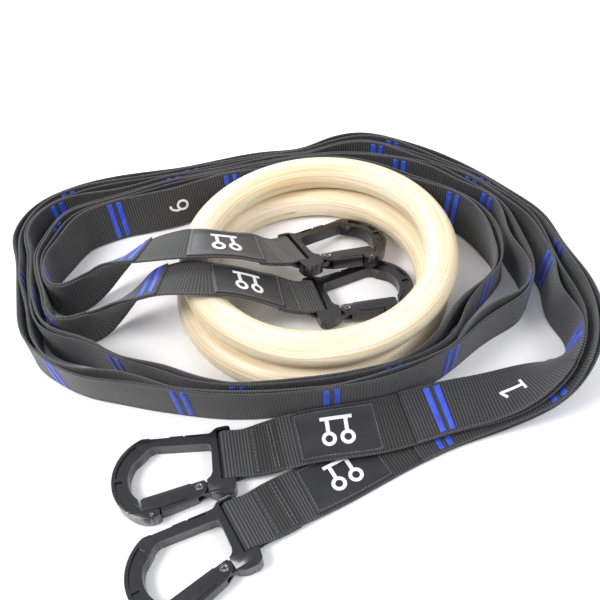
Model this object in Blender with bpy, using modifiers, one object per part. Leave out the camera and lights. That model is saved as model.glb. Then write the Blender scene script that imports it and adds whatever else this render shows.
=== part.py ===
"""Pair of gymnastics rings stored flat, with their two webbing straps coiled round them.

Two laminated rings lie stacked on the floor. Each strap is a long length of webbing with a
second length sewn on in pockets, a label patch near each end, and a carabiner in each folded
end. The straps stand on edge in two loose turns round the rings. Lengths are in metres.
"""
from math import cos, pi, radians, sin

import bmesh
import bpy
import numpy as np
from mathutils import Euler, Matrix, Vector

MM = 0.001

# the frame's origin, as a point of the coil's own plan, under the middle of rings and carabiners
ORIGIN = Vector((-0.02495, -0.08350, 0.0))

# rings
RING_OUTER_DIAMETER = 0.235
RING_TUBE_DIAMETER = 0.028
LOWER_RING_CENTRE = (-0.0068, -0.0063)
UPPER_RING_CENTRE = (0.0, 0.0)
RING_STEPS = 44
TUBE_STEPS = 10
TOUCH_GAP = 0.0003
LAYER_GAP = 0.0008
FLOOR_GAP = 0.0004

# webbing
WEB_WIDTH = 0.0425
WEB_THICKNESS = 0.0016
EYE_WIDTH = 0.0398
FOLD_LENGTH = 0.038
EYE_BLEND = 0.016
LOOPS_START = 0.140
REAR_LABEL_START = 0.034
FRONT_LABEL_START = 0.053
LABEL_LENGTH = 0.062
LABEL_WIDTH = 0.038
LABEL_THICKNESS = 0.0008
LONGEST_STEP = 0.024
LARGEST_TURN = 0.22
END_STRETCH = 0.055

# carabiner, in its own frame: x from the webbing bar to the tip, y towards the spine
BODY_THICKNESS = 0.011
BAR_RADIUS = 0.003
EAR_INNER = 0.0206
RIVET_X, RIVET_Y = 0.0217, -0.0229
RIVET_RADIUS = 0.0016
RIVET_HEAD_RADIUS = 0.0030
PIN_X, PIN_Y = 0.0566, -0.0374
PIN_RADIUS = 0.0017
TONGUE_THICKNESS = 0.0048
SLOT_THICKNESS = 0.0056
BORE_GAP = 0.0002
FORK_RADIUS = 0.0058
BASKET_X, BASKET_Y = 0.050, -0.008
BASKET_OUTER_RADIUS = 0.0345
BASKET_INNER_RADIUS = 0.0225
EDGE_BEVEL = 0.0013
GATE_THICKNESS = 0.0100

# each carabiner's place: its webbing bar's middle and its turns about x, y and z in degrees
CARABINERS = {
    "front_a": ((-0.0840, -0.1659, 0.0060), (180.0, 0.0, 185.5)),
    "front_b": ((-0.0762, -0.2217, 0.0060), (180.0, 0.0, 205.0)),
    "rear_a": ((-0.0205, 0.0188, 0.0258), (-7.0, 10.5, 22.0)),
    "rear_b": ((-0.0060, -0.0234, 0.0088), (-3.5, 1.6, 12.0)),
}

# A strap's route, from its rear carabiner to its front one: the middle line of the webbing in
# millimetres and its lean away from the rings in degrees, where 0 stands on edge and 90 lies
# flat. ON_EDGE marks a point that stands on the floor. Straight height comes from the lean.
ON_EDGE = None
ROUTE_A = [
    (-20.5, 18.8, 25.8, 86), (-38.5, 11.6, 36.5, 84), (-57, 9, 46.5, 82), (-74, 6, 55.5, 80),
    (-91, 4, 61.5, 80), (-110, 4.5, 63, 80), (-130, 7.5, 59, 77), (-150, 10.5, 52.5, 68),
    (-166, 12, 43.5, 50), (-179, 11, 33.5, 30), (-190.5, 6, 25.5, 14), (-203, -2, ON_EDGE, 7),
    (-215, -8, ON_EDGE, 6), (-226.5, -7, ON_EDGE, 3), (-234, 1, ON_EDGE, -2), (-238, 14, ON_EDGE, -3),
    (-239, 30, ON_EDGE, -2), (-233, 47, ON_EDGE, 0), (-226, 62, ON_EDGE, 3),
    (-215, 77, ON_EDGE, 6), (-196, 86, ON_EDGE, 9), (-168, 94, ON_EDGE, 10), (-135, 104, ON_EDGE, 9),
    (-100, 112, ON_EDGE, 7), (-60, 118, ON_EDGE, 4), (-20, 125, ON_EDGE, 0), (20, 126, ON_EDGE, 0),
    (58, 112, ON_EDGE, 3), (90, 88, ON_EDGE, 6), (120, 65, ON_EDGE, 8), (142, 42, ON_EDGE, 7),
    (155, 15, ON_EDGE, 0), (157, -8, ON_EDGE, -6), (146, -32, ON_EDGE, 4), (127, -52, ON_EDGE, 6),
    (110, -72, ON_EDGE, 6), (98, -94, ON_EDGE, 4), (80, -109, ON_EDGE, 4), (52, -119.5, ON_EDGE, 5),
    (10, -127.3, ON_EDGE, 5), (-35, -129, ON_EDGE, 4), (-75, -126, ON_EDGE, 4), (-108, -117, ON_EDGE, 4),
    (-130, -105, ON_EDGE, 6), (-158, -91, ON_EDGE, 7), (-190, -71, ON_EDGE, 6), (-218, -59, ON_EDGE, 4),
    (-235, -42, ON_EDGE, 0), (-243, -18, ON_EDGE, -2), (-248, 8, ON_EDGE, 0), (-251.5, 34, ON_EDGE, 2),
    (-257, 60, ON_EDGE, 5), (-249, 85, ON_EDGE, 8), (-228, 102, ON_EDGE, 9), (-195, 113, ON_EDGE, 8),
    (-155, 118, ON_EDGE, 6), (-115, 122.5, ON_EDGE, 5), (-75, 129.5, ON_EDGE, 4), (-35, 135, ON_EDGE, 2),
    (0, 136.5, ON_EDGE, 0), (28, 143, ON_EDGE, 2), (58, 143, ON_EDGE, 6), (88, 127, ON_EDGE, 8),
    (118, 106, ON_EDGE, 5), (148, 78, ON_EDGE, 3), (172, 45, ON_EDGE, 8), (186, 18, ON_EDGE, 10),
    (190, -12, ON_EDGE, 8), (192, -40, ON_EDGE, 6), (196, -66, ON_EDGE, 5), (197, -88, ON_EDGE, 5),
    (190, -108, 20.8, 12), (177, -121.5, 18, 36), (157, -131.5, 14.5, 62), (131, -139.5, 11.8, 82),
    (104, -143.5, 11, 92), (78, -146.5, 11, 98), (30, -155.6, 11, 102), (-20, -158.4, 10.6, 98),
    (-60, -163.6, 7.2, 93), (-84, -165.9, 6.0, 90),
]
ROUTE_B = [
    (-6, -23.4, 8.8, 88), (-25, -27.6, 20.2, 86), (-42, -28.8, 31.5, 84), (-58, -30.3, 43, 83),
    (-76, -32.5, 53.5, 82), (-93, -34, 60, 82), (-110, -32, 61, 82), (-128, -29.5, 57.5, 77),
    (-143, -29, 51, 68), (-157, -30, 41.5, 50), (-169, -32, 32, 33), (-180, -36, 25, 18),
    (-191, -41, ON_EDGE, 9), (-205, -45, ON_EDGE, 7), (-217, -44, ON_EDGE, 5),
    (-226, -36, ON_EDGE, 2), (-231, -25, ON_EDGE, -1), (-235, -12, ON_EDGE, -2), (-239.7, 1, ON_EDGE, -2),
    (-243.9, 16, ON_EDGE, -2), (-245.1, 34, ON_EDGE, 0), (-240.5, 52, ON_EDGE, 0), (-233, 69, ON_EDGE, 3),
    (-221, 84, ON_EDGE, 6), (-199, 92, ON_EDGE, 9), (-170, 100, ON_EDGE, 10), (-137, 110, ON_EDGE, 9),
    (-100, 117.5, ON_EDGE, 6),
    (-60, 124, ON_EDGE, 4), (-20, 130, ON_EDGE, 0), (20, 131.5, ON_EDGE, 0), (58, 124, ON_EDGE, 4),
    (92, 110, ON_EDGE, 8), (120, 95, ON_EDGE, 6), (137, 77, ON_EDGE, 4), (155, 56, ON_EDGE, 3),
    (167.5, 32, ON_EDGE, 3), (174, 0, ON_EDGE, -3), (174, -35, ON_EDGE, 0), (160, -64, ON_EDGE, 3),
    (138, -78, ON_EDGE, 5), (116, -92, ON_EDGE, 5), (98, -106, ON_EDGE, 6), (70, -122, ON_EDGE, 6),
    (35, -132, ON_EDGE, 8), (0, -135.3, ON_EDGE, 9), (-40, -136, ON_EDGE, 9), (-80, -133, ON_EDGE, 7),
    (-115, -125, ON_EDGE, 6), (-145, -116, ON_EDGE, 5), (-172, -108, ON_EDGE, 8), (-198, -98, ON_EDGE, 8),
    (-224, -79, ON_EDGE, 4), (-243, -56, ON_EDGE, 0), (-251, -26, ON_EDGE, 0), (-256, 2, ON_EDGE, 0),
    (-261, 30, ON_EDGE, 2), (-267, 58, ON_EDGE, 4), (-257, 90, ON_EDGE, 6), (-233, 110, ON_EDGE, 8),
    (-198, 122, ON_EDGE, 8), (-158, 127, ON_EDGE, 6), (-118, 129, ON_EDGE, 6), (-78, 136, ON_EDGE, 4),
    (-38, 141, ON_EDGE, 2), (-4, 142, ON_EDGE, 0), (24, 152, ON_EDGE, 3), (57, 155, ON_EDGE, 6),
    (90, 139, ON_EDGE, 6), (120, 117, ON_EDGE, 5), (152, 85, ON_EDGE, 3), (178, 50, ON_EDGE, 3),
    (197, 18, ON_EDGE, 2), (203, -12, ON_EDGE, 0), (208, -35, ON_EDGE, 0), (212, -56, ON_EDGE, 2),
    (212, -80, ON_EDGE, 5), (206, -102, ON_EDGE, 10), (196.5, -118.5, 20, 18), (182.5, -130, 14.5, 40),
    (161, -138.5, 8.2, 64), (133, -143.5, 4.2, 80), (105, -148.5, 2.4, 88), (74, -156.5, 1.7, 90),
    (29, -174.5, 1.6, 90), (-7, -191, 1.8, 90), (-36, -203, 2.9, 90), (-57, -212.7, 4.2, 90),
    (-76.2, -221.7, 6.0, 90),
]


# ---------------------------------------------------------------- scene and materials

def clear_scene():
    for obj in list(bpy.data.objects):
        bpy.data.objects.remove(obj, do_unlink=True)


def new_collection(name):
    collection = bpy.data.collections.new(name)
    bpy.context.scene.collection.children.link(collection)
    return collection


def make_material(name, colour, roughness, metallic=0.0):
    material = bpy.data.materials.new(name)
    material.use_nodes = True
    shader = material.node_tree.nodes["Principled BSDF"]
    shader.inputs["Base Color"].default_value = (*colour, 1.0)
    shader.inputs["Roughness"].default_value = roughness
    shader.inputs["Metallic"].default_value = metallic
    material.diffuse_color = (*colour, 1.0)
    return material


clear_scene()
PARTS = new_collection("gymnastics_rings")
CUTTERS = new_collection("cutters")


def add_part(name, mesh, colour, roughness, metallic=0.0, matrix=None):
    """One named object on the mesh, with its own material."""
    obj = bpy.data.objects.new(name, mesh)
    PARTS.objects.link(obj)
    slot_owner = make_material(name, colour, roughness, metallic)
    if not mesh.materials:
        mesh.materials.append(slot_owner)
    obj.material_slots[0].link = "OBJECT"
    obj.material_slots[0].material = slot_owner
    if matrix is not None:
        obj.matrix_world = matrix
    return obj


# ---------------------------------------------------------------- rings

def make_ring(name, centre, height, colour):
    major = (RING_OUTER_DIAMETER - RING_TUBE_DIAMETER) / 2
    bpy.ops.mesh.primitive_torus_add(
        major_segments=RING_STEPS, minor_segments=TUBE_STEPS,
        major_radius=major, minor_radius=RING_TUBE_DIAMETER / 2,
        location=(centre[0] - ORIGIN.x, centre[1] - ORIGIN.y, height))
    ring = bpy.context.object
    mesh = ring.data
    mesh.shade_smooth()
    place = Matrix.Translation(ring.location)
    bpy.data.objects.remove(ring)
    return add_part(name, mesh, colour, 0.35, matrix=place)


# ---------------------------------------------------------------- webbing

def smooth_curve(points, samples):
    """Even samples on a natural cubic spline through the points, one row each."""
    points = np.array(points, float)
    steps = np.sqrt(np.linalg.norm(np.diff(points[:, :3], axis=0), axis=1))
    knots = np.concatenate([[0.0], np.cumsum(steps)])
    count = len(points)
    gaps = np.diff(knots)
    system = np.eye(count)
    right = np.zeros_like(points)
    for i in range(1, count - 1):
        system[i, i - 1] = gaps[i - 1]
        system[i, i] = 2 * (gaps[i - 1] + gaps[i])
        system[i, i + 1] = gaps[i]
        right[i] = 6 * ((points[i + 1] - points[i]) / gaps[i] - (points[i] - points[i - 1]) / gaps[i - 1])
    bend = np.linalg.solve(system, right)
    fine = np.linspace(0.0, knots[-1], samples)
    span = np.clip(np.searchsorted(knots, fine, side="right") - 1, 0, count - 2)
    before = ((knots[span + 1] - fine) / gaps[span])[:, None]
    after = 1 - before
    square = (gaps[span] ** 2)[:, None] / 6
    rows = before * points[span] + after * points[span + 1]
    rows += ((before ** 3 - before) * bend[span] + (after ** 3 - after) * bend[span + 1]) * square
    return rows


def unit_rows(rows):
    return rows / np.linalg.norm(rows, axis=1)[:, None]


def ease(value):
    value = np.clip(value, 0.0, 1.0)
    return value * value * (3 - 2 * value)


def standing_height(lean):
    """Height in millimetres of the middle line where the lower edge just clears the floor."""
    layers = 0.5 * WEB_THICKNESS if lean > 0 else 1.5 * WEB_THICKNESS + LAYER_GAP
    tilt = radians(abs(lean))
    return (WEB_WIDTH / 2 * cos(tilt) + layers * sin(tilt) + FLOOR_GAP) / MM


class Strap:
    """The middle line of one strap with its width direction and its inner face's direction."""

    def __init__(self, route, rear_bar, front_bar):
        rows = [(x, y, standing_height(lean) if z is ON_EDGE else z, lean) for x, y, z, lean in route]
        dense = smooth_curve(rows, 6000)
        lowest = [standing_height(lean) for lean in dense[:, 3]]
        dense[:, 2] = np.maximum(dense[:, 2], lowest)
        middle = dense[:, :3] * MM - np.array([ORIGIN.x, ORIGIN.y, 0.0])
        run = np.concatenate([[0.0], np.cumsum(np.linalg.norm(np.diff(middle, axis=0), axis=1))])
        self.length = run[-1]
        self.at = np.linspace(0.0, self.length, 2400)
        self.middle = np.stack([np.interp(self.at, run, middle[:, k]) for k in range(3)], 1)
        lean = np.radians(np.interp(self.at, run, dense[:, 3]))[:, None]
        along = unit_rows(np.gradient(self.middle, axis=0))
        inward = unit_rows(np.cross(along, [0.0, 0.0, 1.0]))
        upward = np.cross(inward, along)
        across = np.cos(lean) * upward - np.sin(lean) * inward
        across = self.turn_to_bar(across, rear_bar, self.at)
        across = self.turn_to_bar(across, front_bar, self.length - self.at)
        self.across = across
        self.along = along
        self.places = self.spread_places()
        self.face = unit_rows(np.cross(along, across))

    @staticmethod
    def turn_to_bar(across, bar, distance):
        """Brings the width direction parallel to a carabiner's bar towards that end."""
        end = across[0] if distance[0] < distance[-1] else across[-1]
        bar = np.array(bar) * (1 if np.dot(end, bar) > 0 else -1)
        share = ease((0.045 - distance) / 0.035)[:, None]
        return unit_rows((1 - share) * across + share * bar)

    def spread_places(self):
        """Distances of the cross sections: close together round bends, further apart on runs."""
        places = [END_STRETCH]
        turned = 0.0
        for k in range(1, len(self.at)):
            if self.at[k] < places[0] or self.at[k] > self.length - END_STRETCH:
                continue
            turned += np.linalg.norm(self.along[k] - self.along[k - 1])
            turned += 0.7 * np.linalg.norm(self.across[k] - self.across[k - 1])
            if turned > LARGEST_TURN or self.at[k] - places[-1] > LONGEST_STEP:
                places.append(self.at[k])
                turned = 0.0
        return places[:-1]

    def places_between(self, start, end):
        inside = [s for s in self.places if start + 0.004 < s < end - 0.004]
        return [start] + inside + [end]

    def sample(self, s):
        """Middle point, width direction, inner face direction and travel direction at s."""
        rows = (self.middle, self.across, self.face, self.along)
        return [np.array([np.interp(s, self.at, row[:, k]) for k in range(3)]) for row in rows]

    def lift(self, s):
        """Offset of the base webbing: doubled beside each bar, single elsewhere."""
        distance = min(s, self.length - s)
        doubled = (WEB_THICKNESS + TOUCH_GAP) / 2
        eye = (BAR_RADIUS + TOUCH_GAP + WEB_THICKNESS / 2 - doubled) * ease(1 - distance / EYE_BLEND)
        return doubled * ease((FOLD_LENGTH + 0.012 - distance) / 0.012) + eye

    def station(self, s, offset, width=WEB_WIDTH):
        point, across, face, _ = self.sample(s)
        return point + face * offset, across, width


def build_ribbon(bm, stations, thickness):
    """A closed ribbon lofted through stations of centre, width direction and width."""
    centres = np.array([station[0] for station in stations])
    along = unit_rows(np.gradient(centres, axis=0))
    rings = []
    for (centre, across, width), travel in zip(stations, along):
        normal = np.cross(across, travel)
        normal /= np.linalg.norm(normal)
        half_width = across * width / 2
        half_depth = normal * thickness / 2
        corners = (centre - half_width - half_depth, centre + half_width - half_depth,
                   centre + half_width + half_depth, centre - half_width + half_depth)
        rings.append([bm.verts.new(corner) for corner in corners])
    for first, second in zip(rings, rings[1:]):
        for k in range(4):
            near, far = (k - 1, k) if k == 1 else (k, k - 1)
            bm.faces.new((first[near], first[far], second[far]))
            bm.faces.new((first[near], second[far], second[near]))
    bm.faces.new(rings[0])
    bm.faces.new(rings[-1][::-1])


def finish_mesh(bm, name):
    bmesh.ops.recalc_face_normals(bm, faces=bm.faces)
    mesh = bpy.data.meshes.new(name)
    bm.to_mesh(mesh)
    bm.free()
    return mesh


def eye_width(strap, s):
    distance = min(s, strap.length - s)
    return EYE_WIDTH + (WEB_WIDTH - EYE_WIDTH) * ease((distance - 0.008) / 0.022)


def eye_stations(strap, rear):
    """The folded end: under the base webbing to the bar, then round the bar's far side."""
    end = 0.0 if rear else strap.length
    sign = 1 if rear else -1
    stations = []
    for distance in np.linspace(FOLD_LENGTH, 0.002, 8):
        s = end + sign * distance
        stations.append(strap.station(s, -strap.lift(s), eye_width(strap, s)))
    bar_point, across, face, along = strap.sample(end)
    radius = BAR_RADIUS + TOUCH_GAP + WEB_THICKNESS / 2
    outward = np.cross(across, face)
    for angle in np.linspace(-pi / 2, pi / 2, 9):
        point = bar_point + radius * (sin(angle) * face - cos(angle) * sign * outward)
        stations.append((point, across, EYE_WIDTH))
    return stations


def make_base(name, strap, colour):
    stations = eye_stations(strap, rear=True)
    near_end = list(np.linspace(0.003, END_STRETCH - 0.006, 8))
    for s in near_end + strap.places + [strap.length - s for s in reversed(near_end)]:
        stations.append(strap.station(s, strap.lift(s), eye_width(strap, s)))
    stations += reversed(eye_stations(strap, rear=False))
    bm = bmesh.new()
    build_ribbon(bm, stations, WEB_THICKNESS)
    return add_part(name, finish_mesh(bm, name), colour, 0.9)


def make_layer(name, strap, places, width, thickness, offset, colour):
    """A flat ribbon lying on the base webbing's inner face."""
    bm = bmesh.new()
    build_ribbon(bm, [strap.station(s, strap.lift(s) + offset, width) for s in places], thickness)
    return add_part(name, finish_mesh(bm, name), colour, 0.9)


def make_strap(letter, route, webbing, loops, label):
    bars = []
    for end in ("rear_", "front_"):
        turn = carabiner_matrix(end + letter).to_3x3()
        bars.append(tuple(turn @ Vector((0.0, 1.0, 0.0))))
    strap = Strap(route, bars[0], bars[1])
    name = f"strap_{letter}_"
    make_base(name + "base_webbing", strap, webbing)
    loop_offset = WEB_THICKNESS + LAYER_GAP
    loop_places = [s for s in strap.places if LOOPS_START < s < strap.length - LOOPS_START]
    make_layer(name + "loop_webbing", strap, loop_places, WEB_WIDTH, WEB_THICKNESS, loop_offset, loops)
    label_offset = WEB_THICKNESS / 2 + LAYER_GAP + LABEL_THICKNESS / 2
    front_start = strap.length - FRONT_LABEL_START - LABEL_LENGTH
    for end, start in (("rear", REAR_LABEL_START), ("front", front_start)):
        label_places = strap.places_between(start, start + LABEL_LENGTH)
        make_layer(name + end + "_label", strap, label_places, LABEL_WIDTH, LABEL_THICKNESS,
                   label_offset, label)


# ---------------------------------------------------------------- carabiner

def arc(centre, radius, start, end, steps):
    """Points of an arc in the plan of the carabiner, angles in degrees."""
    angles = [radians(start + (end - start) * k / steps) for k in range(steps + 1)]
    return [(centre[0] + radius * cos(a), centre[1] + radius * sin(a)) for a in angles]


def flat_mesh(outlines, thickness, name):
    """A plate of the outlines' shape, where an outline inside another is a hole."""
    curve = bpy.data.curves.new(name, "CURVE")
    curve.dimensions = "2D"
    curve.fill_mode = "BOTH"
    curve.extrude = thickness / 2
    for outline in outlines:
        spline = curve.splines.new("POLY")
        spline.points.add(len(outline) - 1)
        for point, (x, y) in zip(spline.points, outline):
            point.co = (x, y, 0.0, 1.0)
        spline.use_cyclic_u = True
    obj = bpy.data.objects.new(name, curve)
    CUTTERS.objects.link(obj)
    mesh = weld(evaluated_mesh(obj, name))
    bpy.data.objects.remove(obj)
    return mesh


def evaluated_mesh(obj, name):
    graph = bpy.context.evaluated_depsgraph_get()
    graph.update()
    mesh = bpy.data.meshes.new_from_object(obj.evaluated_get(graph))
    mesh.name = name
    return mesh


def weld(mesh):
    bm = bmesh.new()
    bm.from_mesh(mesh)
    bmesh.ops.remove_doubles(bm, verts=bm.verts, dist=0.00001)
    bmesh.ops.recalc_face_normals(bm, faces=bm.faces)
    bm.to_mesh(mesh)
    bm.free()
    return mesh


def cylinder_mesh(radius, length, steps, name, radius_top=None):
    bm = bmesh.new()
    bmesh.ops.create_cone(bm, cap_ends=True, segments=steps, radius1=radius,
                          radius2=radius if radius_top is None else radius_top, depth=length)
    return finish_mesh(bm, name)


def cutter(mesh, place=None):
    obj = bpy.data.objects.new(mesh.name, mesh)
    CUTTERS.objects.link(obj)
    obj.hide_render = True
    obj.display_type = "WIRE"
    if place is not None:
        obj.matrix_world = place
    return obj


def shape(mesh, bevel, changes, name):
    """The mesh with its edges bevelled, then each (operation, tool) applied in turn."""
    obj = cutter(mesh)
    if bevel:
        edge = obj.modifiers.new("edges", "BEVEL")
        edge.width = bevel
        edge.segments = 1
        edge.limit_method = "ANGLE"
        edge.angle_limit = radians(50)
    for operation, tool in changes:
        step = obj.modifiers.new(operation.lower(), "BOOLEAN")
        step.operation = operation
        step.object = tool
    result = weld(evaluated_mesh(obj, name))
    result.shade_smooth()
    result.set_sharp_from_angle(angle=radians(35))
    bpy.data.objects.remove(obj)
    for _, tool in changes:
        bpy.data.objects.remove(tool)
    return result


def frame_outline():
    """The forged body: ears, spine, basket and nose, open at the gate and at the webbing slot."""
    basket = (BASKET_X, BASKET_Y)
    ears = EAR_INNER
    spine = [(0.0105, 0.0190), (0.0088, 0.0202), (0.0064, 0.0222), (0.0036, 0.0231), (-0.0034, 0.0231),
             (-0.0050, 0.0219), (-0.0050, ears), (0.0055, ears)]
    gate_ear = [(0.0055, -ears), (-0.0050, -ears)]
    gate_ear += arc((0.0018, -0.0265), 0.0060, 190, 285, 6)
    gate_ear += [(0.0090, -0.0318), (0.0130, -0.0300), (0.0148, -0.0287), (0.0160, -0.0185)]
    hole = [(0.0128, -0.0166), (0.0112, -0.0130), (0.0103, 0.0070), (0.0112, 0.0098), (0.0140, 0.0108)]
    hole += [(0.0520, 0.0161)]
    hole += arc((0.0530, 0.0081), 0.0078, 80, 30, 3)
    hole += arc(basket, BASKET_INNER_RADIUS, 38, -46, 9)
    nose = [(0.0650, -0.0338), (0.0508, -0.0338), (0.0504, -0.0381), (0.0530, -0.0402), (0.0570, -0.0409)]
    return spine + gate_ear + hole + nose + arc(basket, BASKET_OUTER_RADIUS, -69, 71, 14)


def frame_mesh():
    """The carabiner's body, with its webbing bar, the gate's tongue and the bores of both pins."""
    body = flat_mesh([frame_outline()], BODY_THICKNESS, "carabiner_body")
    along_y = Matrix.Rotation(pi / 2, 4, "X")
    bar_length = 2 * EAR_INNER + 0.004
    bar = cutter(cylinder_mesh(BAR_RADIUS, bar_length, 12, "webbing_bar"), along_y)
    rivet = (RIVET_X, RIVET_Y)
    tongue_outline = arc(rivet, 0.0048, -85, 75, 8) + [(0.0140, -0.0192), (0.0135, -0.0280)]
    tongue = cutter(flat_mesh([tongue_outline], TONGUE_THICKNESS, "gate_tongue"))
    rivet_bore = cutter(cylinder_mesh(RIVET_RADIUS + BORE_GAP, 0.02, 12, "rivet_bore"),
                        Matrix.Translation((RIVET_X, RIVET_Y, 0.0)))
    pin_bore = cutter(cylinder_mesh(PIN_RADIUS + BORE_GAP, 0.02, 12, "pin_bore"),
                      Matrix.Translation((PIN_X, PIN_Y, 0.0)))
    changes = [("UNION", bar), ("UNION", tongue), ("DIFFERENCE", rivet_bore), ("DIFFERENCE", pin_bore)]
    return shape(body, EDGE_BEVEL, changes, "carabiner_frame")


def gate_mesh():
    """The gate: a fork over the frame's tongue, a straight arm and an end that meets the nose."""
    outline = [(0.0276, -0.0196), (0.0282, -0.0189), (0.0622, -0.0238), (0.0640, -0.0252),
               (0.0630, -0.0330), (0.0500, -0.0332), (0.0494, -0.0368), (0.0240, -0.0308)]
    outline += arc((RIVET_X, RIVET_Y), FORK_RADIUS, 250, 130, 8) + [(0.0200, -0.0185)]
    body = flat_mesh([outline], GATE_THICKNESS, "gate_body")
    slot_outline = arc((RIVET_X, RIVET_Y), 0.0052, -60, 60, 8)
    slot_outline += [(0.0215, -0.0100), (0.0100, -0.0100), (0.0100, -0.0380), (0.0215, -0.0380)]
    slot = cutter(flat_mesh([slot_outline], SLOT_THICKNESS, "gate_slot"))
    bore = cutter(cylinder_mesh(RIVET_RADIUS + BORE_GAP, 0.02, 12, "gate_bore"),
                  Matrix.Translation((RIVET_X, RIVET_Y, 0.0)))
    spring_bore = cutter(cylinder_mesh(0.0019, 0.0100, 10, "spring_bore"), spring_place(0.0088))
    changes = [("DIFFERENCE", slot), ("DIFFERENCE", bore), ("DIFFERENCE", spring_bore)]
    return shape(body, 0.0009, changes, "carabiner_gate")


def spring_place(distance):
    """A frame at a distance from the rivet along the gate, its z along the gate."""
    turn = Euler((0.0, pi / 2, 0.0)).to_matrix().to_4x4()
    rivet = Matrix.Translation((RIVET_X, RIVET_Y, 0.0))
    swing = Matrix.Rotation(radians(-9.0), 4, "Z")
    return rivet @ swing @ Matrix.Translation((distance, 0.0, 0.0)) @ turn


def spring_mesh():
    """The gate's small coil spring, wound along the bore behind the tongue."""
    turns, steps, length, radius, wire = 3.5, 7, 0.0068, 0.0012, 0.00028
    curve = bpy.data.curves.new("gate_spring", "CURVE")
    curve.dimensions = "3D"
    curve.bevel_depth = wire
    curve.bevel_resolution = 0
    curve.use_fill_caps = True
    spline = curve.splines.new("POLY")
    count = int(turns * steps)
    spline.points.add(count)
    for k, point in enumerate(spline.points):
        angle = 2 * pi * k / steps
        point.co = (radius * cos(angle), radius * sin(angle), length * (k / count - 0.5), 1.0)
    obj = bpy.data.objects.new("gate_spring", curve)
    CUTTERS.objects.link(obj)
    mesh = weld(evaluated_mesh(obj, "gate_spring"))
    bpy.data.objects.remove(obj)
    mesh.transform(spring_place(0.0094))
    return mesh


def rivet_mesh():
    """A shank with a dished head on each side of the gate."""
    shank = cylinder_mesh(RIVET_RADIUS, GATE_THICKNESS + 0.0012, 12, "rivet_shank")
    heads = []
    for side in (-1, 1):
        head = cylinder_mesh(RIVET_HEAD_RADIUS, 0.0006, 12, "rivet_head", RIVET_HEAD_RADIUS - 0.0004)
        place = Matrix.Translation((0.0, 0.0, side * (GATE_THICKNESS / 2 + 0.0006)))
        if side < 0:
            place = place @ Matrix.Rotation(pi, 4, "X")
        heads.append(("UNION", cutter(head, place)))
    mesh = shape(shank, 0.0, heads, "gate_rivet")
    mesh.transform(Matrix.Translation((RIVET_X, RIVET_Y, 0.0)))
    return mesh


def pin_mesh():
    """The pin across the nose that the closed gate meets."""
    mesh = cylinder_mesh(PIN_RADIUS, BODY_THICKNESS - 0.0004, 12, "nose_pin")
    mesh.transform(Matrix.Translation((PIN_X, PIN_Y, 0.0)))
    return mesh


def carabiner_matrix(which):
    place, turns = CARABINERS[which]
    turn = Euler([radians(t) for t in turns], "XYZ").to_matrix().to_4x4()
    return Matrix.Translation(Vector(place) - ORIGIN) @ turn


def make_carabiners():
    dark = (0.035, 0.035, 0.045)
    steel = (0.35, 0.35, 0.37)
    pieces = [
        ("frame", frame_mesh(), dark, 0.35, 1.0),
        ("gate", gate_mesh(), dark, 0.4, 1.0),
        ("gate_rivet", rivet_mesh(), steel, 0.3, 1.0),
        ("gate_spring", spring_mesh(), steel, 0.3, 1.0),
        ("nose_pin", pin_mesh(), steel, 0.3, 1.0),
    ]
    for which in CARABINERS:
        for piece, mesh, colour, roughness, metallic in pieces:
            add_part(f"carabiner_{which}_{piece}", mesh, colour, roughness, metallic, carabiner_matrix(which))


# ---------------------------------------------------------------- the whole object

def make_all():
    birch = (0.74, 0.55, 0.35)
    half = RING_TUBE_DIAMETER / 2
    make_ring("lower_ring", LOWER_RING_CENTRE, half + TOUCH_GAP, birch)
    make_ring("upper_ring", UPPER_RING_CENTRE, 3 * half + 2 * TOUCH_GAP, birch)
    charcoal = (0.05, 0.05, 0.05)
    grey = (0.07, 0.07, 0.07)
    black = (0.02, 0.02, 0.02)
    make_strap("a", ROUTE_A, charcoal, grey, black)
    make_strap("b", ROUTE_B, charcoal, grey, black)
    make_carabiners()


make_all()
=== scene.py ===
"""Looks of a pair of gymnastics rings stored flat, with their two webbing straps coiled round them.

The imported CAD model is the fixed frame. Every piece here stands for a CAD node or is sewn on one,
in the same frame, in metres. Distances along a strap run from its rear carabiner to its front one.
"""

from math import atan2, cos, pi, radians, sin

import bmesh
import bpy
import numpy as np
from mathutils import Euler, Matrix, Vector
from mathutils.bvhtree import BVHTree


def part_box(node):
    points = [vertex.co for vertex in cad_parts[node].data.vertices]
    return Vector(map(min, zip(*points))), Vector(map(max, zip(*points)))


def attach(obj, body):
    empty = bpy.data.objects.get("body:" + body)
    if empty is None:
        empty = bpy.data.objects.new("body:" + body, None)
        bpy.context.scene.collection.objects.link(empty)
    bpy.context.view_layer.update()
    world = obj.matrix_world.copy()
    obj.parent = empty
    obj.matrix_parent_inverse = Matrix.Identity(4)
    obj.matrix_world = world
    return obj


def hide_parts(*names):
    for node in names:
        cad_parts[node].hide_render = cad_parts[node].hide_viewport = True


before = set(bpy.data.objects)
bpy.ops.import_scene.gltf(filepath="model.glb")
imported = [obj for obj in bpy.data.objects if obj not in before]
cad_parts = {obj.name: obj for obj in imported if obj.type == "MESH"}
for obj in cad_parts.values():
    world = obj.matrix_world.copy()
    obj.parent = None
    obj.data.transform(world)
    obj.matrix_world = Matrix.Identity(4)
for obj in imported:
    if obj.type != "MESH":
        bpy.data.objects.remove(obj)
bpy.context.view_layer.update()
MM = 0.001
RANDOM = np.random.default_rng(7)

# ---------------- sizes, as the CAD has them, but for the loops' start, 3 mm nearer the label

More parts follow.
